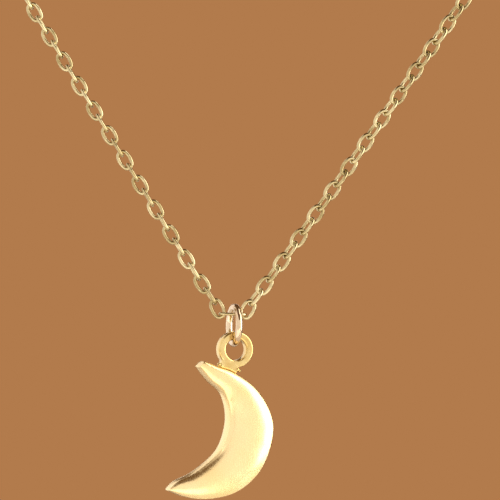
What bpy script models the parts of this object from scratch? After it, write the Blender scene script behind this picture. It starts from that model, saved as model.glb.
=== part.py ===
# Crescent moon pendant necklace on a fine cable chain, closed by a spring ring clasp.
# The chain hangs as it is worn: a V in front, then level round the back of the neck.
# Lengths are in millimetres and become metres as each object is made. +Z is up and the pendant faces -Y.
import math

import bmesh
import bpy
from mathutils import Matrix, Vector

MM = 0.001

# Chain
NECKLACE_LENGTH = 406.0
LINK_LENGTH = 1.76
LINK_WIDTH = 1.18
LINK_WIRE = 0.28
LINK_PLAY = 0.03
LINK_FULLNESS = 2.4
LINK_POINTS = 16
CENTRE_PITCH = 1.90
CENTRE_RISE = 0.26
CENTRE_WIDTH = 1.0
CENTRE_WIRE = 0.24
EDGE_TURN_LEFT = 80.0
EDGE_TURN_RIGHT = 67.0
MODELLED_LINKS = 11
RUNS_PER_SIDE = 8
RUN_POINTS = 8
RUN_DIAMETER = 0.9
RUN_GAP = 0.3

# Way round the neck, with its origin at the middle of the neck opening
NECK_HALF_WIDTH = 54.0
NECK_FRONT_DEPTH = 46.0
FRONT_SLOPE = 1.524
FRONT_ROUNDING = 1.3
RISE_END = math.radians(103.0)

# Jump ring that carries the charm
JUMP_RING_DIAMETER = 3.45
JUMP_RING_WIRE = 0.56
JUMP_RING_DROP = 0.885
JUMP_RING_SHIFT = 0.16
JUMP_RING_POINTS = 28
JUMP_RING_YAW = math.radians(16.0)
PENDANT_YAW = math.radians(18.0)

# Charm, seen from the front, with its origin at the centre of its loop
LOOP_DIAMETER = 2.90
LOOP_HOLE = 1.72
LOOP_THICKNESS = 1.0
LOOP_PLAY = 0.09
LOOP_SHIFT = 0.08
LOOP_EDGE = 0.1
LOOP_STEPS = 48
FOOT_START = math.radians(-136.0)
FOOT_END = math.radians(-84.0)
SEAM = 0.02
HANG_TURN = math.radians(1.77)
MOON_WALL = 1.2
MOON_DOME = 0.34
MOON_BACK = 0.66
MOON_ROWS = 30
MOON_COLUMNS = 8
MOON_OUTER = [
    (-5.6, -11.2), (-3.98, -11.8), (-1.98, -11.9), (0.22, -11.3), (2.12, -9.6), (3.08, -7.0),
    (2.9, -5.15), (1.64, -3.15), (-0.23, -1.85), (-1.48, -1.42), (-2.18, -1.08), (-2.7, -0.9),
]
MOON_INNER = [
    (-5.6, -11.04), (-4.93, -10.44), (-3.43, -9.76), (-1.5, -8.15), (-0.75, -6.4),
    (-0.66, -4.9), (-1.14, -3.43), (-2.18, -2.52), (-3.12, -1.32),
]

# Spring ring clasp
CLASP_RADIUS = 2.15
CLASP_TUBE = 1.30
CLASP_BORE = 0.84
CLASP_SIDES = 12
CLASP_STEP = math.radians(7.5)
CASING_START = math.radians(75.0)
CASING_STEPS = 40
SLOT_FIRST = 29
SLOT_LAST = 37
BOLT_WIRE = 0.72
BOLT_FIRST = 27
BOLT_LAST = 47
BOLT_NIB_STEP = 35
NIB_HEIGHT = 0.55
NIB_HEAD = 0.35
NIB_HEAD_GROWTH = 1.8
SPRING_FIRST = 2.4
SPRING_LAST = 20.6
SPRING_TURNS = 9
SPRING_DIAMETER = 0.66
SPRING_WIRE = 0.12
EYE_DIAMETER = 1.70
EYE_WIRE = 0.40
LINK_RING_DIAMETER = 2.60
LINK_RING_WIRE = 0.40
END_RING_DIAMETER = 2.80
END_RING_WIRE = 0.40
RING_PLAY = 0.03

GOLD = (0.83, 0.66, 0.33)
CHARM_GOLD = (0.90, 0.76, 0.42)
STEEL = (0.62, 0.61, 0.58)


def clear_scene():
    for item in list(bpy.data.objects):
        bpy.data.objects.remove(item, do_unlink=True)


def metal(name, colour, roughness):
    material = bpy.data.materials.new(name)
    material.use_nodes = True
    shader = material.node_tree.nodes["Principled BSDF"]
    shader.inputs["Base Color"].default_value = (*colour, 1.0)
    shader.inputs["Metallic"].default_value = 1.0
    shader.inputs["Roughness"].default_value = roughness
    return material


def in_metres(matrix):
    placed = matrix.copy()
    placed.translation = matrix.translation * MM
    return placed


def place(item, matrix, parent=None):
    bpy.context.scene.collection.objects.link(item)
    if parent is not None:
        item.parent = parent
    item.matrix_local = in_metres(matrix)
    return item


def empty(name, matrix):
    return place(bpy.data.objects.new(name, None), matrix)


def wire_curve(name, points, diameter, material, closed, resolution=1):
    curve = bpy.data.curves.new(name, "CURVE")
    curve.dimensions = "3D"
    curve.bevel_depth = diameter / 2 * MM
    curve.bevel_resolution = resolution
    curve.use_fill_caps = not closed
    spline = curve.splines.new("POLY")
    spline.points.add(len(points) - 1)
    for target, point in zip(spline.points, points):
        target.co = (*(Vector(point) * MM), 1.0)
    spline.use_cyclic_u = closed
    spline.use_smooth = True
    curve.materials.append(material)
    return curve


def solid(name, shape, material):
    bmesh.ops.recalc_face_normals(shape, faces=shape.faces)
    shape.transform(Matrix.Scale(MM, 4))
    mesh = bpy.data.meshes.new(name)
    shape.to_mesh(mesh)
    shape.free()
    mesh.shade_smooth()
    mesh.set_sharp_from_angle(angle=math.radians(35))
    mesh.materials.append(material)
    return bpy.data.objects.new(name, mesh)


def oval(half_length, half_width, count, fullness=2.0):
    # A fullness of 2 is an ellipse, and more than 2 has blunter ends.
    points = []
    for step in range(count):
        angle = 2 * math.pi * step / count
        spot = []
        for half, part in ((half_length, math.cos(angle)), (half_width, math.sin(angle))):
            spot.append(math.copysign(half * abs(part) ** (2 / fullness), part))
        points.append((*spot, 0))
    return points


def frame_from(centre, along, normal):
    side = normal.cross(along)
    return Matrix.Translation(centre) @ Matrix((along, side, normal)).transposed().to_4x4()


# Way round the neck: turn 0 is the pendant's place and pi is the nape


def rise_at(turn):
    full = FRONT_SLOPE * NECK_HALF_WIDTH * RISE_END / (math.pi / 2)
    height = full * math.sin(min(turn / RISE_END, 1.0) * math.pi / 2)
    return math.hypot(height, FRONT_ROUNDING) - FRONT_ROUNDING


def neck_point(turn, back_depth):
    depth = NECK_FRONT_DEPTH if turn < math.pi / 2 else back_depth
    across = NECK_HALF_WIDTH * math.sin(turn)
    return Vector((across, -depth * math.cos(turn), rise_at(turn) - rise_at(math.pi)))


def next_turn(turn, start, pitch, back_depth):
    low, high = turn, turn + 3 * pitch / NECK_FRONT_DEPTH
    for _ in range(40):
        middle = (low + high) / 2
        if (neck_point(middle, back_depth) - start).length < pitch:
            low = middle
        else:
            high = middle
    return low


def walk(count, pitch, back_depth):
    turn = math.asin(CENTRE_PITCH / 2 / NECK_HALF_WIDTH)
    points = [Vector((CENTRE_PITCH / 2, -NECK_FRONT_DEPTH, neck_point(0, back_depth).z + CENTRE_RISE))]
    for _ in range(count):
        turn = next_turn(turn, points[-1], pitch, back_depth)
        points.append(neck_point(turn, back_depth))
    return points


def right_joints(count, pitch, reach):
    # The chain's length is fixed, so the depth at the back is what brings its last joint to the clasp.
    low, high = 20.0, 120.0
    for _ in range(30):
        back_depth = (low + high) / 2
        points = walk(count, pitch, back_depth)
        if points[-1].x < reach:
            low = back_depth
        else:
            high = back_depth
    return points


def outward(point, along):
    radial = Vector((point.x / NECK_HALF_WIDTH, point.y / NECK_FRONT_DEPTH, 0.0))
    return (radial - along * radial.dot(along)).normalized()


def link_shape(name, length, width, wire, material):
    line = oval((length - wire) / 2, (width - wire) / 2, LINK_POINTS, LINK_FULLNESS)
    return wire_curve(name, line, wire, material, True, 1)


def link_frame(first, last, index, edge_turn):
    along = (last - first).normalized()
    centre = (first + last) / 2
    normal = outward(centre, along)
    turn = 0.0 if index % 2 else -math.radians(edge_turn)
    return frame_from(centre, along, Matrix.Rotation(turn, 3, along) @ normal)


def chain_links(curve, joints, side, edge_turn):
    for index in range(1, MODELLED_LINKS + 1):
        link = bpy.data.objects.new(f"link_{side}_{index:02d}", curve)
        place(link, link_frame(joints[index - 1], joints[index], index, edge_turn))


def chain_runs(joints, side, material):
    first = MODELLED_LINKS
    links = len(joints) - 1 - first
    lead = LINK_WIRE + LINK_PLAY / 2 + RUN_GAP
    for run in range(RUNS_PER_SIDE):
        start = first + round(links * run / RUNS_PER_SIDE)
        end = first + round(links * (run + 1) / RUNS_PER_SIDE)
        marks = [start + round((end - start) * step / RUN_POINTS) for step in range(RUN_POINTS + 1)]
        points = [joints[mark].copy() for mark in marks]
        points[0] += (points[1] - points[0]).normalized() * (lead if run == 0 else RUN_GAP / 2)
        is_last = run == RUNS_PER_SIDE - 1
        points[-1] += (points[-2] - points[-1]).normalized() * (lead if is_last else RUN_GAP / 2)
        name = f"chain_{side}_{run + 1}"
        centre = points[RUN_POINTS // 2].copy()
        curve = wire_curve(name, [point - centre for point in points], RUN_DIAMETER, material, False, 2)
        place(bpy.data.objects.new(name, curve), Matrix.Translation(centre))


# Crescent


def smooth_line(knots, count):
    # A Catmull-Rom curve through the knots, read at evenly spaced values.
    padded = [knots[0], *knots, knots[-1]]
    points = []
    for step in range(count + 1):
        position = step / count * (len(knots) - 1)
        first = min(int(position), len(knots) - 2)
        part = position - first
        a, b, c, d = (Vector(padded[first + offset]) for offset in range(4))
        curve = 2 * b + (c - a) * part
        curve += (2 * a - 5 * b + 4 * c - d) * part ** 2
        curve += (3 * b - a - 3 * c + d) * part ** 3
        points.append(curve / 2)
    return points


def even_line(knots, count):
    # The same curve, read at even lengths along it.
    fine = smooth_line(knots, 400)
    lengths = [0.0]
    for first, last in zip(fine, fine[1:]):
        lengths.append(lengths[-1] + (last - first).length)
    points = []
    place_at = 0
    for step in range(count + 1):
        target = lengths[-1] * step / count
        while place_at < len(fine) - 2 and lengths[place_at + 1] < target:
            place_at += 1
        span = lengths[place_at + 1] - lengths[place_at]
        points.append(fine[place_at].lerp(fine[place_at + 1], (target - lengths[place_at]) / span))
    return points


def crescent_moon(material):
    shape = bmesh.new()
    outer = even_line(MOON_OUTER, MOON_ROWS)
    inner = even_line(MOON_INNER, MOON_ROWS)
    widest = max((far - near).length for far, near in zip(outer, inner))
    front = []
    back = []
    for far, near in zip(outer, inner):
        swell = MOON_DOME * ((far - near).length / widest) ** 0.5
        row = []
        for column in range(MOON_COLUMNS + 1):
            share = column / MOON_COLUMNS
            spot = far.lerp(near, share)
            height = MOON_WALL + swell * (4 * share * (1 - share)) ** 0.6
            row.append(shape.verts.new((spot.x, MOON_BACK - height, spot.y)))
        front.append(row)
        back.append([shape.verts.new((spot.x, MOON_BACK, spot.y)) for spot in (far, near)])
    for row, following in zip(front, front[1:]):
        for column in range(MOON_COLUMNS):
            shape.faces.new((row[column], row[column + 1], following[column + 1], following[column]))
    for row, following in zip(range(MOON_ROWS), range(1, MOON_ROWS + 1)):
        shape.faces.new((back[row][0], back[following][0], back[following][1], back[row][1]))
        for edge, column in ((0, 0), (1, MOON_COLUMNS)):
            wall = (front[row][column], front[following][column], back[following][edge], back[row][edge])
            shape.faces.new(wall)
    for row in (0, MOON_ROWS):
        shape.faces.new((*front[row], back[row][1], back[row][0]))
    return solid("moon", shape, material)


def reach_to_moon(angle):
    # Distance from the loop's centre to the moon's outer edge in one direction.
    ray = Vector((math.cos(angle), math.sin(angle)))
    edge = smooth_line(MOON_OUTER, 200)
    best = None
    for first, last in zip(edge, edge[1:]):
        span = last - first
        turn = ray.cross(span)
        if abs(turn) < 1e-9:
            continue
        distance = first.cross(span) / turn
        part = first.cross(ray) / turn
        if 0 <= part <= 1 and distance > 0 and (best is None or distance < best):
            best = distance
    return best


def loop_reach(angle):
    if not FOOT_START <= angle <= FOOT_END:
        return LOOP_DIAMETER / 2
    found = reach_to_moon(angle)
    return LOOP_DIAMETER / 2 if found is None else max(found - SEAM, LOOP_HOLE / 2 + 2 * LOOP_EDGE)


def charm_loop(material):
    shape = bmesh.new()
    half = LOOP_THICKNESS / 2
    sections = []
    for step in range(LOOP_STEPS):
        angle = 2 * math.pi * step / LOOP_STEPS - math.pi
        outer = loop_reach(angle)
        inner = LOOP_HOLE / 2
        corners = (
            (inner, half - LOOP_EDGE), (inner + LOOP_EDGE, half), (outer - LOOP_EDGE, half),
            (outer, half - LOOP_EDGE), (outer, LOOP_EDGE - half), (outer - LOOP_EDGE, -half),
            (inner + LOOP_EDGE, -half), (inner, LOOP_EDGE - half),
        )
        section = []
        for radius, depth in corners:
            section.append(shape.verts.new((radius * math.cos(angle), depth, radius * math.sin(angle))))
        sections.append(section)
    for section, following in zip(sections, sections[1:] + sections[:1]):
        for corner in range(len(section)):
            after = (corner + 1) % len(section)
            shape.faces.new((section[corner], section[after], following[after], following[corner]))
    return solid("charm_loop", shape, material)


# Spring ring clasp: the tube follows a ring in the XZ plane, and its outside is side 0 of each section


def tube_section(shape, step, diameter):
    angle = CASING_START + step * CLASP_STEP
    ring = Vector((math.cos(angle), 0, math.sin(angle)))
    points = []
    for side in range(CLASP_SIDES):
        turn = (side - 0.5) * 2 * math.pi / CLASP_SIDES
        offset = ring * math.cos(turn) + Vector((0, math.sin(turn), 0))
        points.append(shape.verts.new(ring * CLASP_RADIUS + offset * (diameter / 2)))
    return points


def side_pairs():
    return [(side, (side + 1) % CLASP_SIDES) for side in range(CLASP_SIDES)]


def clasp_casing(material):
    shape = bmesh.new()
    outside = [tube_section(shape, step, CLASP_TUBE) for step in range(CASING_STEPS + 1)]
    inside = [tube_section(shape, step, CLASP_BORE) for step in range(1, CASING_STEPS + 1)]
    for skin, first_step in ((outside, 0), (inside, 1)):
        for index, (section, following) in enumerate(zip(skin, skin[1:])):
            in_slot = SLOT_FIRST <= index + first_step < SLOT_LAST
            for side, after in side_pairs():
                if not (in_slot and side == 0):
                    shape.faces.new((section[side], section[after], following[after], following[side]))
    shape.faces.new(outside[0])
    shape.faces.new(inside[0])
    for side, after in side_pairs():
        shape.faces.new((outside[-1][side], outside[-1][after], inside[-1][after], inside[-1][side]))
    for step in range(SLOT_FIRST, SLOT_LAST):
        for side in (0, 1):
            edge = (outside[step][side], outside[step + 1][side], inside[step][side], inside[step - 1][side])
            shape.faces.new(edge)
    for step in (SLOT_FIRST, SLOT_LAST):
        shape.faces.new((outside[step][0], outside[step][1], inside[step - 1][1], inside[step - 1][0]))
    return solid("clasp_casing", shape, material)


def clasp_bolt(material):
    shape = bmesh.new()
    sections = [tube_section(shape, step, BOLT_WIRE) for step in range(BOLT_FIRST, BOLT_LAST + 1)]
    nib_root = None
    for index, (section, following) in enumerate(zip(sections, sections[1:])):
        for side, after in side_pairs():
            face = shape.faces.new((section[side], section[after], following[after], following[side]))
            if index + BOLT_FIRST == BOLT_NIB_STEP and side == 0:
                nib_root = face
    shape.faces.new(sections[0])
    shape.faces.new(sections[-1])
    angle = CASING_START + (BOLT_NIB_STEP + 0.5) * CLASP_STEP
    ring = Vector((math.cos(angle), 0, math.sin(angle)))
    neck = raise_face(shape, nib_root, ring * NIB_HEIGHT, 1.0)
    shoulder = raise_face(shape, neck, ring * SEAM, NIB_HEAD_GROWTH)
    raise_face(shape, shoulder, ring * NIB_HEAD, 1.0)
    return solid("clasp_bolt", shape, material)


def raise_face(shape, face, step, growth):
    made = bmesh.ops.extrude_face_region(shape, geom=[face])
    top = next(item for item in made["geom"] if isinstance(item, bmesh.types.BMFace))
    shape.faces.remove(face)
    centre = top.calc_center_median()
    for corner in top.verts:
        corner.co = centre + (corner.co - centre) * growth + step
    return top


def clasp_spring(material):
    points = []
    count = SPRING_TURNS * 10
    for step in range(count + 1):
        share = step / count
        angle = CASING_START + CLASP_STEP * (SPRING_FIRST + share * (SPRING_LAST - SPRING_FIRST))
        ring = Vector((math.cos(angle), 0, math.sin(angle)))
        turn = 2 * math.pi * SPRING_TURNS * share
        offset = ring * math.cos(turn) + Vector((0, math.sin(turn), 0))
        points.append(ring * CLASP_RADIUS + offset * ((SPRING_DIAMETER - SPRING_WIRE) / 2))
    return wire_curve("clasp_spring", points, SPRING_WIRE, material, False, 1)


def ring_curve(name, diameter, wire, material, count=20):
    radius = (diameter - wire) / 2
    return wire_curve(name, oval(radius, radius, count), wire, material, True, 1)


def clasp_places():
    # Each piece's centre along the line from the left chain end to the right one, from the casing's centre.
    eye = -(CLASP_RADIUS + CLASP_TUBE / 2 + EYE_DIAMETER / 2 + SEAM)
    eye_wire = eye - (EYE_DIAMETER - EYE_WIRE) / 2
    near_wire = eye_wire + (EYE_WIRE + LINK_RING_WIRE) / 2 + RING_PLAY
    link_ring = near_wire - (LINK_RING_DIAMETER - LINK_RING_WIRE) / 2
    far_wire = link_ring - (LINK_RING_DIAMETER - LINK_RING_WIRE) / 2
    link_inset = (LINK_LENGTH - LINK_WIRE) / 2
    left_link = far_wire + (LINK_RING_WIRE + LINK_WIRE) / 2 + RING_PLAY - link_inset
    hooked_wire = CLASP_RADIUS - (CLASP_TUBE + END_RING_WIRE) / 2 - RING_PLAY
    end_ring = hooked_wire + (END_RING_DIAMETER - END_RING_WIRE) / 2
    outer_wire = end_ring + (END_RING_DIAMETER - END_RING_WIRE) / 2
    right_link = outer_wire - (END_RING_WIRE + LINK_WIRE) / 2 - RING_PLAY + link_inset
    return {"eye": eye, "link_ring": link_ring, "left_link": left_link,
            "end_ring": end_ring, "right_link": right_link}


def clasp(joint, pitch, link_curve, gold, steel):
    places = clasp_places()
    middle = (places["left_link"] + places["right_link"]) / 2
    upright = Matrix.Translation((-middle, joint.y, joint.z))
    flat = Matrix.Rotation(math.pi / 2, 4, "X")
    turning = empty("clasp_line", upright)
    place(clasp_casing(gold), Matrix(), turning)
    place(clasp_bolt(gold), Matrix(), turning)
    place(bpy.data.objects.new("clasp_spring", clasp_spring(steel)), Matrix(), turning)
    eye = ring_curve("clasp_eye", EYE_DIAMETER, EYE_WIRE, gold)
    place(bpy.data.objects.new("clasp_eye", eye), Matrix.Translation((places["eye"], 0, 0)) @ flat, turning)
    for name, diameter, wire in (
        ("link_ring", LINK_RING_DIAMETER, LINK_RING_WIRE),
        ("end_ring", END_RING_DIAMETER, END_RING_WIRE),
    ):
        curve = ring_curve(name, diameter, wire, gold)
        place(bpy.data.objects.new(name, curve), upright @ Matrix.Translation((places[name], 0, 0)))
    for side in ("left", "right"):
        spot = Matrix.Translation((places[f"{side}_link"], 0, 0))
        place(bpy.data.objects.new(f"link_{side}_end", link_curve), upright @ spot @ flat)


def mirrored(points):
    return [Vector((-point.x, point.y, point.z)) for point in points]


def main():
    clear_scene()
    gold = metal("chain_gold", GOLD, 0.22)
    charm_gold = metal("charm_gold", CHARM_GOLD, 0.16)
    steel = metal("spring_steel", STEEL, 0.35)

    pitch = LINK_LENGTH - 2 * LINK_WIRE - LINK_PLAY
    places = clasp_places()
    reach = (places["right_link"] - places["left_link"]) / 2 + pitch / 2
    per_side = 2 * round((NECKLACE_LENGTH / 2 - reach - CENTRE_PITCH / 2) / pitch / 2)
    joints = {"right": right_joints(per_side, pitch, reach)}
    joints["left"] = mirrored(joints["right"])

    # The strands pull up and outward, so each first link grips the centre link's end from below.
    link_curve = link_shape("link", LINK_LENGTH, LINK_WIDTH, LINK_WIRE, gold)
    first, second = joints["right"][:2]
    end_wire = first + (second - first).normalized() * (CENTRE_WIRE + LINK_PLAY) / 2
    bottom = Vector((0, first.y, end_wire.z))
    centre_length = 2 * end_wire.x + CENTRE_WIRE
    centre_curve = link_shape("link_bottom", centre_length, CENTRE_WIDTH, CENTRE_WIRE, gold)
    place(bpy.data.objects.new("link_bottom", centre_curve), Matrix.Translation(bottom))
    chain_links(link_curve, joints["left"], "left", EDGE_TURN_LEFT)
    chain_links(link_curve, joints["right"], "right", EDGE_TURN_RIGHT)
    chain_runs(joints["left"], "left", gold)
    chain_runs(joints["right"], "right", gold)

    yaw = Matrix.Rotation(PENDANT_YAW, 4, "Z")
    ring_centre = bottom + Vector((JUMP_RING_SHIFT, 0, -JUMP_RING_DROP))
    ring = ring_curve("jump_ring", JUMP_RING_DIAMETER, JUMP_RING_WIRE, gold, JUMP_RING_POINTS)
    stand = Matrix.Rotation(math.pi / 2, 4, "Y")
    ring_yaw = Matrix.Rotation(JUMP_RING_YAW, 4, "Z")
    place(bpy.data.objects.new("jump_ring", ring), Matrix.Translation(ring_centre) @ ring_yaw @ stand)

    swing_centre = ring_centre - Vector((0, 0, (JUMP_RING_DIAMETER - JUMP_RING_WIRE) / 2))
    swing = empty("charm_swing_axis", Matrix.Translation(swing_centre) @ yaw)
    loop_drop = LOOP_HOLE / 2 - JUMP_RING_WIRE / 2 - LOOP_PLAY
    hang = Matrix.Rotation(-HANG_TURN, 4, "Y") @ Matrix.Translation((LOOP_SHIFT, 0, -loop_drop))
    place(charm_loop(charm_gold), hang, swing)
    place(crescent_moon(charm_gold), hang, swing)
    clasp(joints["right"][-1], pitch, link_curve, gold, steel)


main()
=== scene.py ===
# Crescent moon necklace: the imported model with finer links, ring, bail, moon and clasp
import math

import bpy
from mathutils import Matrix, Vector
from mathutils.kdtree import KDTree


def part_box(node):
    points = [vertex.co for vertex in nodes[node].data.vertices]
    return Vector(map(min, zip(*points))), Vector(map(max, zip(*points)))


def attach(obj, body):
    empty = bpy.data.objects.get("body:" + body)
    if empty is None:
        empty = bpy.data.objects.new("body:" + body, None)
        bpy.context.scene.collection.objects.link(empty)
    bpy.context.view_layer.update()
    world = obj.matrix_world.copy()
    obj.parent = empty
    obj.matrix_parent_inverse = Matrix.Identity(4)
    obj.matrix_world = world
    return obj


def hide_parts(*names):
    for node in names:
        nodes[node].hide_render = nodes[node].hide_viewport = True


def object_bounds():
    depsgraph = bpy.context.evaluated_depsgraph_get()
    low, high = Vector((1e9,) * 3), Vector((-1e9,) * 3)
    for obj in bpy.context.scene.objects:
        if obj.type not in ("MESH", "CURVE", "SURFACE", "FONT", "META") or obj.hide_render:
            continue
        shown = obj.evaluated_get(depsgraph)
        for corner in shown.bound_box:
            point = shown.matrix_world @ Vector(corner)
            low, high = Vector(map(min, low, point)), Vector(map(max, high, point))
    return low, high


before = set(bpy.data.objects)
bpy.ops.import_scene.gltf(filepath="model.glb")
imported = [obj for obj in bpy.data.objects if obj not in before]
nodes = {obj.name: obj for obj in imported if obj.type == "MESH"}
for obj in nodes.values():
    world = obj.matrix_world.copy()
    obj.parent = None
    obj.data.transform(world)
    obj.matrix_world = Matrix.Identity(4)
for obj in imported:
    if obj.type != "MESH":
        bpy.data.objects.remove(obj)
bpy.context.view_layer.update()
mm = 0.001
print("frame loaded with", len(nodes), "pieces")


# Small helpers

def deselectAll():
    if bpy.context.object and bpy.context.object.mode != "OBJECT":
        bpy.ops.object.mode_set(mode="OBJECT")
    bpy.ops.object.select_all(action="DESELECT")


def makeActive(piece):
    deselectAll()
    piece.select_set(True)
    bpy.context.view_layer.objects.active = piece


def startEdit(select="SELECT"):
    bpy.ops.object.mode_set(mode="EDIT")
    bpy.ops.mesh.select_all(action=select)


def endEdit():
    bpy.ops.object.mode_set(mode="OBJECT")


def closeMesh(gap=0.002 * mm):
    # in edit mode: weld the seams, then turn every face outwards
    bpy.ops.mesh.select_all(action="SELECT")
    bpy.ops.mesh.remove_doubles(threshold=gap)
    bpy.ops.mesh.normals_make_consistent(inside=False)


def finishPiece(piece, name, material, smoothAngle=40):
    makeActive(piece)
    bpy.ops.object.transform_apply(location=True, rotation=True, scale=True)
    bpy.ops.object.shade_smooth_by_angle(angle=math.radians(smoothAngle))
    piece.name = name
    piece.data.name = name
    piece.data.materials.clear()
    piece.data.materials.append(material)
    return piece


def applyModifier(piece, kind, **settings):
    makeActive(piece)
    modifier = piece.modifiers.new(kind.title(), kind)
    for key, value in settings.items():
        setattr(modifier, key, value)
    bpy.ops.object.modifier_apply(modifier=modifier.name)


def copyPlaced(source, name, matrix):
    # a copy with its own mesh, moved inside the mesh so that the object stays at the origin
    piece = bpy.data.objects.new(name, source.data.copy())
    piece.data.name = name
    piece.data.transform(matrix)
    bpy.context.scene.collection.objects.link(piece)
    return piece


def copyNode(nodeName, name):
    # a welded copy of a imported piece, to refine in its place
    piece = copyPlaced(nodes[nodeName], name, Matrix())
    makeActive(piece)
    startEdit()
    closeMesh()
    bpy.ops.mesh.tris_convert_to_quads(face_threshold=math.radians(40), shape_threshold=math.radians(60))
    endEdit()
    return piece


def middleOf(nodeName):
    low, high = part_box(nodeName)
    return (low + high) / 2


def inMetres(matrix):
    placed = matrix.copy()
    placed.translation = matrix.translation * mm
    return placed


# Materials

def linear(hexColour):
    channels = [int(hexColour[index:index + 2], 16) / 255 for index in (1, 3, 5)]
    bright = [c / 12.92 if c <= 0.04045 else ((c + 0.055) / 1.055) ** 2.4 for c in channels]
    return (*bright, 1.0)


def addNode(tree, kind, values=None, links=None, stops=(), **settings):
    made = tree.nodes.new("ShaderNode" + kind)
    for key, value in settings.items():
        setattr(made, key, value)
    for socket, value in (values or {}).items():
        made.inputs[socket].default_value = value
    for socket, source in (links or {}).items():
        tree.links.new(source, made.inputs[socket])
    if stops:
        for element, (position, colour) in zip(made.color_ramp.elements, stops):
            element.position = position
            element.color = colour
    return made


def metalMaterial(name, look):
    # shared build for every metal piece: two close tones, polishing lines, soft dents and pits
    material = bpy.data.materials.new(name)
    material.use_nodes = True
    tree = material.node_tree
    shader = tree.nodes["Principled BSDF"]
    shader.inputs["Metallic"].default_value = 1.0
    place = addNode(tree, "TexCoord").outputs["Object"]

    cloud = addNode(tree, "TexNoise", {"Scale": 1 / (look["cloudSize"] * mm), "Detail": 3.0}, {"Vector": place})
    tone = addNode(tree, "ValToRGB", links={"Fac": cloud.outputs["Fac"]},
                   stops=[(0.38, linear(look["deepColour"])), (0.62, linear(look["colour"]))])

    turned = addNode(tree, "Mapping", {"Rotation": look["lineTurn"], "Scale": look["lineStretch"]}, {"Vector": place})
    lines = addNode(tree, "TexNoise", {"Scale": 1 / (look["lineWidth"] * mm), "Detail": 4.0, "Roughness": 0.6},
                    {"Vector": turned.outputs["Vector"]})
    dents = addNode(tree, "TexNoise", {"Scale": 1 / (look["dentSize"] * mm), "Detail": 1.0}, {"Vector": place})
    specks = addNode(tree, "TexNoise", {"Scale": 1 / (look["pitSize"] * mm), "Detail": 2.0}, {"Vector": place})
    pits = addNode(tree, "ValToRGB", links={"Fac": specks.outputs["Fac"]},
                   stops=[(look["pitLevel"], linear("#000000")), (look["pitLevel"] + 0.06, linear("#ffffff"))])

    low, high = look["roughness"]
    rough = addNode(tree, "MapRange", {"From Min": 0.35, "From Max": 0.65, "To Min": low, "To Max": high},
                    {"Value": lines.outputs["Fac"]})
    dented = addNode(tree, "Bump", {"Strength": 1.0, "Distance": look["dentDepth"] * mm},
                     {"Height": dents.outputs["Fac"]})
    lined = addNode(tree, "Bump", {"Strength": 1.0, "Distance": look["lineDepth"] * mm},
                    {"Height": lines.outputs["Fac"], "Normal": dented.outputs["Normal"]})
    pitted = addNode(tree, "Bump", {"Strength": 1.0, "Distance": look["pitDepth"] * mm},
                     {"Height": pits.outputs["Color"], "Normal": lined.outputs["Normal"]}, invert=True)
    tree.links.new(tone.outputs["Color"], shader.inputs["Base Color"])
    tree.links.new(rough.outputs["Result"], shader.inputs["Roughness"])
    tree.links.new(pitted.outputs["Normal"], shader.inputs["Normal"])
    return material


# 14-carat gold-filled wire, drawn, soldered and barrel tumbled: bright and a little soft, with tiny dents
wireGold = metalMaterial("goldFilledWireTumbled", {
    "colour": "#dacda2", "deepColour": "#b3a274", "cloudSize": 1.3,
    "lineTurn": (0.0, 0.0, 0.0), "lineStretch": (1.0, 1.0, 1.0), "lineWidth": 0.09, "lineDepth": 0.0006,
    "dentSize": 0.45, "dentDepth": 0.012, "pitSize": 0.2, "pitLevel": 0.7, "pitDepth": 0.002,
    "roughness": (0.12, 0.22),
})

# rosier gold-filled wire, drawn and left bright from the die
# its draw lines are too fine to see, so they are drawn 0.05 mm wide
ringGold = metalMaterial("goldFilledRingWireDrawn", {
    "colour": "#e9dac0", "deepColour": "#d6bd9e", "cloudSize": 1.6,
    "lineTurn": (0.0, 0.0, math.radians(18)), "lineStretch": (1.0, 0.15, 0.15), "lineWidth": 0.05,
    "lineDepth": 0.002, "dentSize": 0.8, "dentDepth": 0.012, "pitSize": 0.2, "pitLevel": 0.7, "pitDepth": 0.003,
    "roughness": (0.09, 0.18),
})

# gold vermeil over cast brass, buffed by hand: a pale satin face, slightly wavy, with faint wheel lines
charmGold = metalMaterial("goldVermeilBuffed", {
    "colour": "#fde6b2", "deepColour": "#fbe0a4", "cloudSize": 4.0,
    "lineTurn": (0.0, math.radians(28), math.radians(18)), "lineStretch": (1.0, 1.0, 0.12), "lineWidth": 0.08,
    "lineDepth": 0.0005, "dentSize": 2.2, "dentDepth": 0.05, "pitSize": 0.35, "pitLevel": 0.68, "pitDepth": 0.003,
    "roughness": (0.22, 0.32),
})

# the same plating on the cast bail and its solder: deeper in tone, lumpy and less evenly buffed
bailGold = metalMaterial("goldVermeilCast", {
    "colour": "#e7d092", "deepColour": "#d8b974", "cloudSize": 1.0,
    "lineTurn": (0.0, 0.0, 0.0), "lineStretch": (1.0, 1.0, 1.0), "lineWidth": 0.12, "lineDepth": 0.001,
    "dentSize": 0.5, "dentDepth": 0.03, "pitSize": 0.25, "pitLevel": 0.62, "pitDepth": 0.004,
    "roughness": (0.14, 0.26),
})

# gold-filled clasp tube, bent and polished: smooth, with light handling marks
claspGold = metalMaterial("goldFilledTubePolished", {
    "colour": "#f0d49a", "deepColour": "#dcb974", "cloudSize": 2.0,
    "lineTurn": (0.0, math.radians(35), 0.0), "lineStretch": (1.0, 1.0, 0.2), "lineWidth": 0.07,
    "lineDepth": 0.0015, "dentSize": 0.9, "dentDepth": 0.015, "pitSize": 0.3, "pitLevel": 0.7, "pitDepth": 0.003,
    "roughness": (0.1, 0.2),
})

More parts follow.
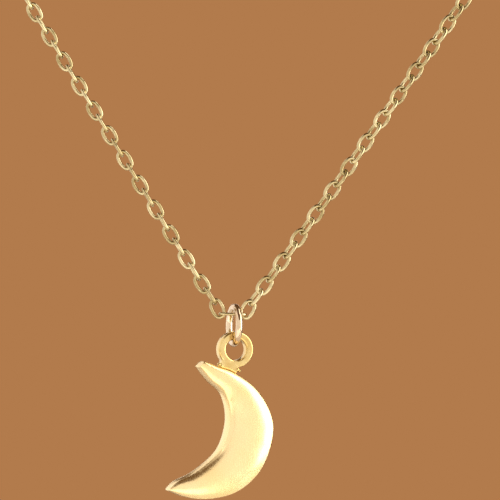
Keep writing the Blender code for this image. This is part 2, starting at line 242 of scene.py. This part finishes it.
# hard-drawn spring steel: grey, with the die's long scratches
springSteel = metalMaterial("springSteelDrawn", {
    "colour": "#b9b8b4", "deepColour": "#8d8c88", "cloudSize": 0.6,
    "lineTurn": (0.0, 0.0, 0.0), "lineStretch": (1.0, 1.0, 0.3), "lineWidth": 0.04, "lineDepth": 0.002,
    "dentSize": 0.3, "dentDepth": 0.004, "pitSize": 0.2, "pitLevel": 0.7, "pitDepth": 0.002,
    "roughness": (0.25, 0.4),
})
print("materials ready")


# The way of the chain round the neck, in millimetres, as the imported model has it

chain = {
    "length": 406.0, "linkLength": 1.76, "linkWidth": 1.18, "wire": 0.28, "play": 0.03,
    "centrePitch": 1.90, "centreRise": 0.26, "edgeTurn": {"left": 80.0, "right": 67.0},
    "singleLinks": 11, "strands": 8,
    "halfWidth": 54.0, "frontDepth": 46.0, "slope": 1.524, "rounding": 1.3, "riseEnd": math.radians(103.0),
}


def riseAt(turn):
    full = chain["slope"] * chain["halfWidth"] * chain["riseEnd"] / (math.pi / 2)
    height = full * math.sin(min(turn / chain["riseEnd"], 1.0) * math.pi / 2)
    return math.hypot(height, chain["rounding"]) - chain["rounding"]


def neckPoint(turn, backDepth):
    depth = chain["frontDepth"] if turn < math.pi / 2 else backDepth
    return Vector((chain["halfWidth"] * math.sin(turn), -depth * math.cos(turn), riseAt(turn) - riseAt(math.pi)))


def nextTurn(turn, start, pitch, backDepth):
    low, high = turn, turn + 3 * pitch / chain["frontDepth"]
    for _ in range(40):
        middle = (low + high) / 2
        if (neckPoint(middle, backDepth) - start).length < pitch:
            low = middle
        else:
            high = middle
    return low


def walkChain(count, pitch, backDepth):
    turn = math.asin(chain["centrePitch"] / 2 / chain["halfWidth"])
    height = neckPoint(0, backDepth).z + chain["centreRise"]
    points = [Vector((chain["centrePitch"] / 2, -chain["frontDepth"], height))]
    for _ in range(count):
        turn = nextTurn(turn, points[-1], pitch, backDepth)
        points.append(neckPoint(turn, backDepth))
    return points


def rightJoints(count, pitch, reach):
    low, high = 20.0, 120.0
    for _ in range(30):
        backDepth = (low + high) / 2
        points = walkChain(count, pitch, backDepth)
        if points[-1].x < reach:
            low = backDepth
        else:
            high = backDepth
    return points


def linkMatrix(first, last, index, edgeTurn):
    # odd links lie flat on the neck and even ones stand nearly on edge
    along = (last - first).normalized()
    centre = (first + last) / 2
    radial = Vector((centre.x / chain["halfWidth"], centre.y / chain["frontDepth"], 0.0))
    normal = (radial - along * radial.dot(along)).normalized()
    turn = 0.0 if index % 2 else -math.radians(edgeTurn)
    normal = Matrix.Rotation(turn, 3, along) @ normal
    side = normal.cross(along)
    return inMetres(Matrix.Translation(centre) @ Matrix((along, side, normal)).transposed().to_4x4())


pitch = chain["linkLength"] - 2 * chain["wire"] - chain["play"]
reach = (middleOf("link_right_end").x - middleOf("link_left_end").x) / mm / 2 + pitch / 2
perSide = 2 * round((chain["length"] / 2 - reach - chain["centrePitch"] / 2) / pitch / 2)
joints = {"right": rightJoints(perSide, pitch, reach)}
joints["left"] = [Vector((-point.x, point.y, point.z)) for point in joints["right"]]
print("chain way laid out with", perSide, "links a side")


# Chain links: a wire section swept round a four-centred oval, as the forming tool bends it

linkLook = {"endRound": 0.88, "flatten": 0.94, "centreWidth": 1.0, "centreWire": 0.24}
nearMesh = {"sides": 12, "endSteps": 7, "sideSteps": 3}
farMesh = {"sides": 5, "endSteps": 4, "sideSteps": 1}


def bentLink(name, length, width, wire, mesh):
    halfLength, halfWidth = (length - wire) / 2 * mm, (width - wire) / 2 * mm
    endRadius = linkLook["endRound"] * halfWidth
    reachOut = halfLength - endRadius
    sideRadius = (reachOut ** 2 + halfWidth ** 2 - endRadius ** 2) / (2 * (halfWidth - endRadius))
    endAngle = math.atan2(sideRadius - halfWidth, reachOut)
    sideAngle = math.pi / 2 - endAngle
    below, above = (0, halfWidth - sideRadius, 0), (0, sideRadius - halfWidth, 0)
    deselectAll()
    bpy.ops.mesh.primitive_circle_add(vertices=mesh["sides"], radius=wire / 2 * mm, location=(0, halfWidth, 0),
                                      rotation=(0, math.radians(90), 0))
    link = bpy.context.object
    startEdit()
    for centre, angle, steps in (
        (below, sideAngle, mesh["sideSteps"]), ((reachOut, 0, 0), 2 * endAngle, mesh["endSteps"]),
        (above, 2 * sideAngle, 2 * mesh["sideSteps"]), ((-reachOut, 0, 0), 2 * endAngle, mesh["endSteps"]),
        (below, sideAngle, mesh["sideSteps"]),
    ):
        bpy.ops.mesh.spin(steps=steps, angle=angle, center=centre, axis=(0, 0, 1))
    closeMesh()
    bpy.ops.transform.resize(value=(1, 1, linkLook["flatten"]), center_override=(0, 0, 0))
    endEdit()
    return finishPiece(link, name, wireGold, 80)


nearLink = bentLink("nearLink", chain["linkLength"], chain["linkWidth"], chain["wire"], nearMesh)
farLink = bentLink("farLink", chain["linkLength"], chain["linkWidth"], chain["wire"], farMesh)

for side in ("left", "right"):
    for index in range(1, chain["singleLinks"] + 1):
        node = f"link_{side}_{index:02d}"
        matrix = linkMatrix(joints[side][index - 1], joints[side][index], index, chain["edgeTurn"][side])
        link = copyPlaced(nearLink, f"oval_{node}", matrix)
        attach(link, node)
        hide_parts(node)

    # the rest of the strand, joined run by run
    first = chain["singleLinks"]
    rest = perSide - first
    for run in range(chain["strands"]):
        start = first + round(rest * run / chain["strands"])
        end = first + round(rest * (run + 1) / chain["strands"])
        source = nearLink if run == 0 else farLink
        links = []
        for index in range(start + 1, end + 1):
            matrix = linkMatrix(joints[side][index - 1], joints[side][index], index, chain["edgeTurn"][side])
            links.append(copyPlaced(source, f"strandLink{index}", matrix))
        makeActive(links[0])
        for link in links:
            link.select_set(True)
        bpy.ops.object.join()
        strand = bpy.context.object
        strand.name = f"strand_{side}_{run + 1}"
        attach(strand, "necklace")
        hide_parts(f"chain_{side}_{run + 1}")

    # the last link, lying flat where the strand meets the clasp
    node = f"link_{side}_end"
    flat = Matrix.Translation(middleOf(node)) @ Matrix.Rotation(math.pi / 2, 4, "X")
    link = copyPlaced(farLink, f"oval_{node}", flat)
    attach(link, "necklace")
    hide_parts(node)

low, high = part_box("link_bottom")
centreLink = bentLink("centre_link", (high.x - low.x) / mm, linkLook["centreWidth"], linkLook["centreWire"],
                      nearMesh)
centreLink.data.transform(Matrix.Translation((low + high) / 2))
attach(centreLink, "link_bottom")
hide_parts("link_bottom")
for spare in (nearLink, farLink):
    bpy.data.objects.remove(spare)
print("chain links done")


# Rings: one wire section spun nearly all the way round, with closed ends that meet at a thin cut

pendant = {"ringYaw": math.radians(16.0), "yaw": math.radians(18.0), "hangTurn": math.radians(1.77),
           "loopShift": 0.08, "loopDrop": 0.49}
rings = {
    "jump_ring": {"name": "jump_ring_wire", "diameter": 3.45, "wire": 0.56, "cut": 0.03, "cutAt": 200.0,
                  "steps": 56, "sides": 20, "body": "jump_ring", "material": ringGold},
    "clasp_eye": {"name": "clasp_eye_wire", "diameter": 1.70, "wire": 0.40, "cut": 0.02, "cutAt": 0.0,
                  "steps": 32, "sides": 12, "body": "clasp", "material": claspGold},
    "link_ring": {"name": "link_ring_wire", "diameter": 2.60, "wire": 0.40, "cut": 0.03, "cutAt": 90.0,
                  "steps": 36, "sides": 12, "body": "necklace", "material": claspGold},
    "end_ring": {"name": "end_ring_wire", "diameter": 2.80, "wire": 0.40, "cut": 0.03, "cutAt": 60.0,
                 "steps": 36, "sides": 12, "body": "necklace", "material": claspGold},
}


def cutRing(node, settings, stand):
    radius = (settings["diameter"] - settings["wire"]) / 2 * mm
    cutAngle = settings["cut"] * mm / radius
    deselectAll()
    bpy.ops.mesh.primitive_circle_add(vertices=settings["sides"], radius=settings["wire"] / 2 * mm,
                                      location=(radius, 0, 0), rotation=(math.radians(90), 0, 0))
    ring = bpy.context.object
    startEdit()
    bpy.ops.mesh.spin(steps=settings["steps"], angle=2 * math.pi - cutAngle, center=(0, 0, 0), axis=(0, 0, 1))
    bpy.ops.mesh.select_all(action="DESELECT")
    bpy.ops.mesh.select_non_manifold()
    bpy.ops.mesh.fill_holes(sides=0)
    bpy.ops.mesh.select_all(action="SELECT")
    bpy.ops.mesh.normals_make_consistent(inside=False)
    endEdit()
    finishPiece(ring, settings["name"], settings["material"])
    ring.data.transform(stand @ Matrix.Rotation(math.radians(settings["cutAt"]), 4, "Z"))
    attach(ring, settings["body"])
    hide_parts(node)
    return ring


for node, settings in rings.items():
    # the chain's two end rings lie flat, the clasp's eye stands, and the jump ring hangs nearly edge on
    stand = Matrix.Rotation(math.pi / 2, 4, "X") if node == "clasp_eye" else Matrix()
    if node == "jump_ring":
        stand = Matrix.Rotation(pendant["ringYaw"], 4, "Z") @ Matrix.Rotation(math.pi / 2, 4, "Y")
    cutRing(node, settings, Matrix.Translation(middleOf(node)) @ stand)
print("rings done")


# Bail: the cast loop on top of the moon, with its corners rounded over

bail = {"cornerRound": 0.06, "roundSteps": 3}
loop = copyNode("charm_loop", "bail_loop")
startEdit("DESELECT")
bpy.ops.mesh.select_mode(type="EDGE")
bpy.ops.mesh.edges_select_sharp(sharpness=math.radians(30))
bpy.ops.mesh.bevel(offset=bail["cornerRound"] * mm, segments=bail["roundSteps"], affect="EDGES", clamp_overlap=True)
closeMesh()
endEdit()
finishPiece(loop, "bail_loop", bailGold, 60)
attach(loop, "charm")
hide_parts("charm_loop")

# the charm's own place: across and up from the loop's centre, as it hangs on the ring
ringRadius = (rings["jump_ring"]["diameter"] - rings["jump_ring"]["wire"]) / 2 * mm
charmPlace = (Matrix.Translation(middleOf("jump_ring") - Vector((0, 0, ringRadius)))
              @ Matrix.Rotation(pendant["yaw"], 4, "Z") @ Matrix.Rotation(-pendant["hangTurn"], 4, "Y")
              @ Matrix.Translation(Vector((pendant["loopShift"], 0, -pendant["loopDrop"])) * mm))

# solder: small uneven beads where the loop's foot meets the moon
solder = {
    "beads": [(-1.40, -1.16, 0.15), (-1.22, -1.30, 0.17), (-0.98, -1.36, 0.13), (-1.47, -1.28, 0.10),
              (0.10, -1.60, 0.20), (0.28, -1.70, 0.14), (-0.05, -1.62, 0.15)],
    "front": -0.30, "depth": 1.5, "unevenness": 0.012,
}
beads = []
for number, (across, height, radius) in enumerate(solder["beads"]):
    deselectAll()
    bpy.ops.mesh.primitive_ico_sphere_add(subdivisions=2, radius=radius * mm)
    bead = bpy.context.object
    startEdit()
    bpy.ops.transform.vertex_random(offset=solder["unevenness"] * mm, seed=number + 1, normal=1.0)
    bpy.ops.transform.resize(value=(1.15, solder["depth"], 0.9), center_override=(0, 0, 0))
    endEdit()
    bead.data.transform(charmPlace @ Matrix.Translation(Vector((across, solder["front"], height)) * mm))
    beads.append(bead)
makeActive(beads[0])
for bead in beads:
    bead.select_set(True)
bpy.ops.object.join()
beads = finishPiece(bpy.context.object, "solder_beads", bailGold, 80)
applyModifier(beads, "SUBSURF", levels=2, render_levels=2)
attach(beads, "charm")
print("bail and solder done")


# Moon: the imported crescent, its face and walls rounded into each other, with a crisp flat back

moonLook = {"levels": 3, "innerCrease": 0.12, "outerCrease": 0.5, "endCrease": 0.35, "hollowCentre": (-6.2, -5.2),
            "hornRightEdge": -2.75, "hornLowEdge": -1.35, "tipRightEdge": -5.58,
            "crown": 0.14, "crownWidth": 2.5, "wallTilt": 0.2, "backTilt": 0.98, "faceTilt": 0.3}
frontWay = charmPlace.to_3x3() @ Vector((0, -1, 0))
moon = copyNode("moon", "moon_charm")


def creaseAround(piece, picks, crease):
    # crease the outline of the faces that are picked by their place and normal
    makeActive(piece)
    bpy.ops.object.mode_set(mode="EDIT")
    bpy.ops.mesh.select_mode(type="FACE")
    bpy.ops.mesh.select_all(action="DESELECT")
    bpy.ops.object.mode_set(mode="OBJECT")
    for face in piece.data.polygons:
        face.select = picks(face)
    bpy.ops.object.mode_set(mode="EDIT")
    bpy.ops.mesh.region_to_loop()
    bpy.ops.transform.edge_crease(value=crease)
    endEdit()


def isBack(face):
    return face.normal.dot(frontWay) < -moonLook["backTilt"]


hollowX, hollowZ = moonLook["hollowCentre"]
hollow = charmPlace @ (Vector((hollowX, 0, hollowZ)) * mm)


def isWall(face, facesHollow):
    turnedIn = face.normal.dot(face.center - hollow) < 0
    return abs(face.normal.dot(frontWay)) < moonLook["wallTilt"] and turnedIn == facesHollow


def isEnd(face):
    # the blunt upper horn and the lower tip
    spot = charmPlace.inverted() @ face.center / mm
    atHorn = spot.z > moonLook["hornLowEdge"] and spot.x < moonLook["hornRightEdge"]
    atTip = spot.x < moonLook["tipRightEdge"]
    return abs(face.normal.dot(frontWay)) < moonLook["wallTilt"] and (atHorn or atTip)


creaseAround(moon, lambda face: isWall(face, True), moonLook["innerCrease"])
creaseAround(moon, lambda face: isWall(face, False), moonLook["outerCrease"])
creaseAround(moon, isEnd, moonLook["endCrease"])
creaseAround(moon, isBack, 1.0)
applyModifier(moon, "SUBSURF", levels=moonLook["levels"], render_levels=moonLook["levels"])


def wallTree(facesHollow):
    spots = [face.center.copy() for face in moon.data.polygons if isWall(face, facesHollow)]
    tree = KDTree(len(spots))
    for number, spot in enumerate(spots):
        tree.insert(spot, number)
    tree.balance()
    return tree


# buffing crowns the face: it stands highest half way between the two walls
hollowWall, outerWall = wallTree(True), wallTree(False)
crowned = {}
for vertex in moon.data.vertices:
    if vertex.normal.dot(frontWay) > moonLook["faceTilt"]:
        toHollow, toOuter = hollowWall.find(vertex.co)[2], outerWall.find(vertex.co)[2]
        share = toHollow / (toHollow + toOuter)
        fullness = min(1.0, (toHollow + toOuter) / (moonLook["crownWidth"] * mm))
        lift = moonLook["crown"] * mm * 4 * share * (1 - share) * fullness
        crowned[vertex.index] = vertex.co + frontWay * lift
for index, spot in crowned.items():
    moon.data.vertices[index].co = spot
finishPiece(moon, "moon_charm", charmGold, 50)
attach(moon, "charm")
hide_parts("moon")
print("moon done")


# Clasp: the tube and its bolt with their sharp edges eased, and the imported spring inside

claspLook = {"edgeRound": 0.04, "roundSteps": 2}
for node, body in (("clasp_casing", "clasp"), ("clasp_bolt", "clasp_bolt")):
    piece = copyNode(node, node + "_tube")
    startEdit("DESELECT")
    bpy.ops.mesh.select_mode(type="EDGE")
    bpy.ops.mesh.edges_select_sharp(sharpness=math.radians(50))
    bpy.ops.mesh.bevel(offset=claspLook["edgeRound"] * mm, segments=claspLook["roundSteps"], affect="EDGES",
                       clamp_overlap=True)
    endEdit()
    finishPiece(piece, node + "_tube", claspGold, 45)
    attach(piece, body)
    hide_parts(node)
nodes["clasp_spring"].data.materials.clear()
nodes["clasp_spring"].data.materials.append(springSteel)
print("clasp done")


# Floor, surroundings, lights and camera

studio = {
    "floor": "#f6f1ea", "floorMottle": "#f1ebe2", "mottleSize": 25.0 * mm, "floorRoughness": 0.7,
    "floorDrop": 0.3, "floorRadius": 1.0,
    "background": "#b27b4c", "surround": "#a07850", "surroundStrength": 0.45, "lampColour": "#fffaf2",
}

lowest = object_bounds()[0]
deselectAll()
bpy.ops.mesh.primitive_circle_add(vertices=96, radius=studio["floorRadius"], fill_type="NGON",
                                  location=(0, 0, lowest.z - studio["floorDrop"]))
floor = bpy.context.object
floor.name = "floor"
bpy.ops.object.transform_apply(location=True, rotation=True, scale=True)
# matt painted board: pale, with a barely visible mottle 25 mm across
board = bpy.data.materials.new("mattPaintedBoard")
board.use_nodes = True
boardTree = board.node_tree
boardShader = boardTree.nodes["Principled BSDF"]
boardPlace = addNode(boardTree, "TexCoord").outputs["Object"]
mottle = addNode(boardTree, "TexNoise", {"Scale": 1 / studio["mottleSize"], "Detail": 4.0}, {"Vector": boardPlace})
paint = addNode(boardTree, "ValToRGB", links={"Fac": mottle.outputs["Fac"]},
                stops=[(0.3, linear(studio["floorMottle"])), (0.7, linear(studio["floor"]))])
boardTree.links.new(paint.outputs["Color"], boardShader.inputs["Base Color"])
boardShader.inputs["Roughness"].default_value = studio["floorRoughness"]
floor.data.materials.append(board)

world = bpy.data.worlds.new("studio")
bpy.context.scene.world = world
world.use_nodes = True
worldTree = world.node_tree
worldTree.nodes.clear()
seen = addNode(worldTree, "Background", {"Color": linear(studio["background"]), "Strength": 1.0})
mirrored = addNode(worldTree, "Background",
                   {"Color": linear(studio["surround"]), "Strength": studio["surroundStrength"]})
path = addNode(worldTree, "LightPath")
both = worldTree.nodes.new("ShaderNodeMixShader")
worldTree.links.new(path.outputs["Is Camera Ray"], both.inputs[0])
worldTree.links.new(mirrored.outputs[0], both.inputs[1])
worldTree.links.new(seen.outputs[0], both.inputs[2])
worldOut = addNode(worldTree, "OutputWorld")
worldTree.links.new(both.outputs[0], worldOut.inputs["Surface"])

# the view is a little rolled, and its middle lies right of and above the chain's lowest link
view = {"width": 40.0 * mm, "distance": 0.5, "roll": math.radians(1.65), "right": 1.39 * mm, "up": 5.13 * mm,
        "filmWidth": 36.0}
right = Vector((math.cos(view["roll"]), 0, math.sin(view["roll"])))
up = Vector((-math.sin(view["roll"]), 0, math.cos(view["roll"])))
target = middleOf("link_bottom") + right * view["right"] + up * view["up"]

# azimuth 0 is beside the camera and 90 is on the pendant's right; brightness is the panel's own
softboxes = {
    "key": {"azimuth": 26, "elevation": 2, "distance": 0.75, "width": 1.1, "height": 0.8, "bright": 1.0},
    "rim": {"azimuth": 82, "elevation": 15, "distance": 0.7, "width": 0.6, "height": 0.9, "bright": 3.4},
    "fill": {"azimuth": -58, "elevation": 3, "distance": 0.8, "width": 1.7, "height": 1.4, "bright": 0.95},
    "low": {"azimuth": -20, "elevation": -44, "distance": 0.35, "width": 0.9, "height": 0.28, "bright": 0.95},
    "upperLeft": {"azimuth": -85, "elevation": 48, "distance": 0.8, "width": 0.9, "height": 0.35, "bright": 0.6},
    "behind": {"azimuth": 178, "elevation": 3, "distance": 0.9, "width": 0.4, "height": 0.2, "bright": 1.4},
    "top": {"azimuth": 95, "elevation": 62, "distance": 0.7, "width": 0.5, "height": 0.3, "bright": 2.4},
    "side": {"azimuth": -133, "elevation": 8, "distance": 0.9, "width": 1.0, "height": 1.0, "bright": 1.1},
}
for name, box in softboxes.items():
    azimuth, elevation = math.radians(box["azimuth"]), math.radians(box["elevation"])
    away = Vector((math.sin(azimuth) * math.cos(elevation), -math.cos(azimuth) * math.cos(elevation),
                   math.sin(elevation)))
    deselectAll()
    bpy.ops.object.light_add(type="AREA", location=target + away * box["distance"])
    lamp = bpy.context.object
    lamp.name = name + "Softbox"
    lamp.rotation_euler = away.to_track_quat("Z", "Y").to_euler()
    lamp.data.shape = "RECTANGLE"
    lamp.data.size = box["width"]
    lamp.data.size_y = box["height"]
    lamp.data.energy = box["bright"] * math.pi * box["width"] * box["height"]
    lamp.data.color = linear(studio["lampColour"])[:3]
    lamp.visible_camera = False

deselectAll()
bpy.ops.object.camera_add(location=target - Vector((0, view["distance"], 0)))
camera = bpy.context.object
camera.rotation_euler = Matrix((right, up, Vector((0, -1, 0)))).transposed().to_euler()
camera.data.sensor_width = view["filmWidth"]
camera.data.lens = view["filmWidth"] * view["distance"] / view["width"]
camera.data.clip_start = 0.01
camera.data.clip_end = 20.0
camera.data.dof.use_dof = False
bpy.context.scene.camera = camera
bpy.context.scene.view_settings.view_transform = "Standard"
print("studio and camera ready")
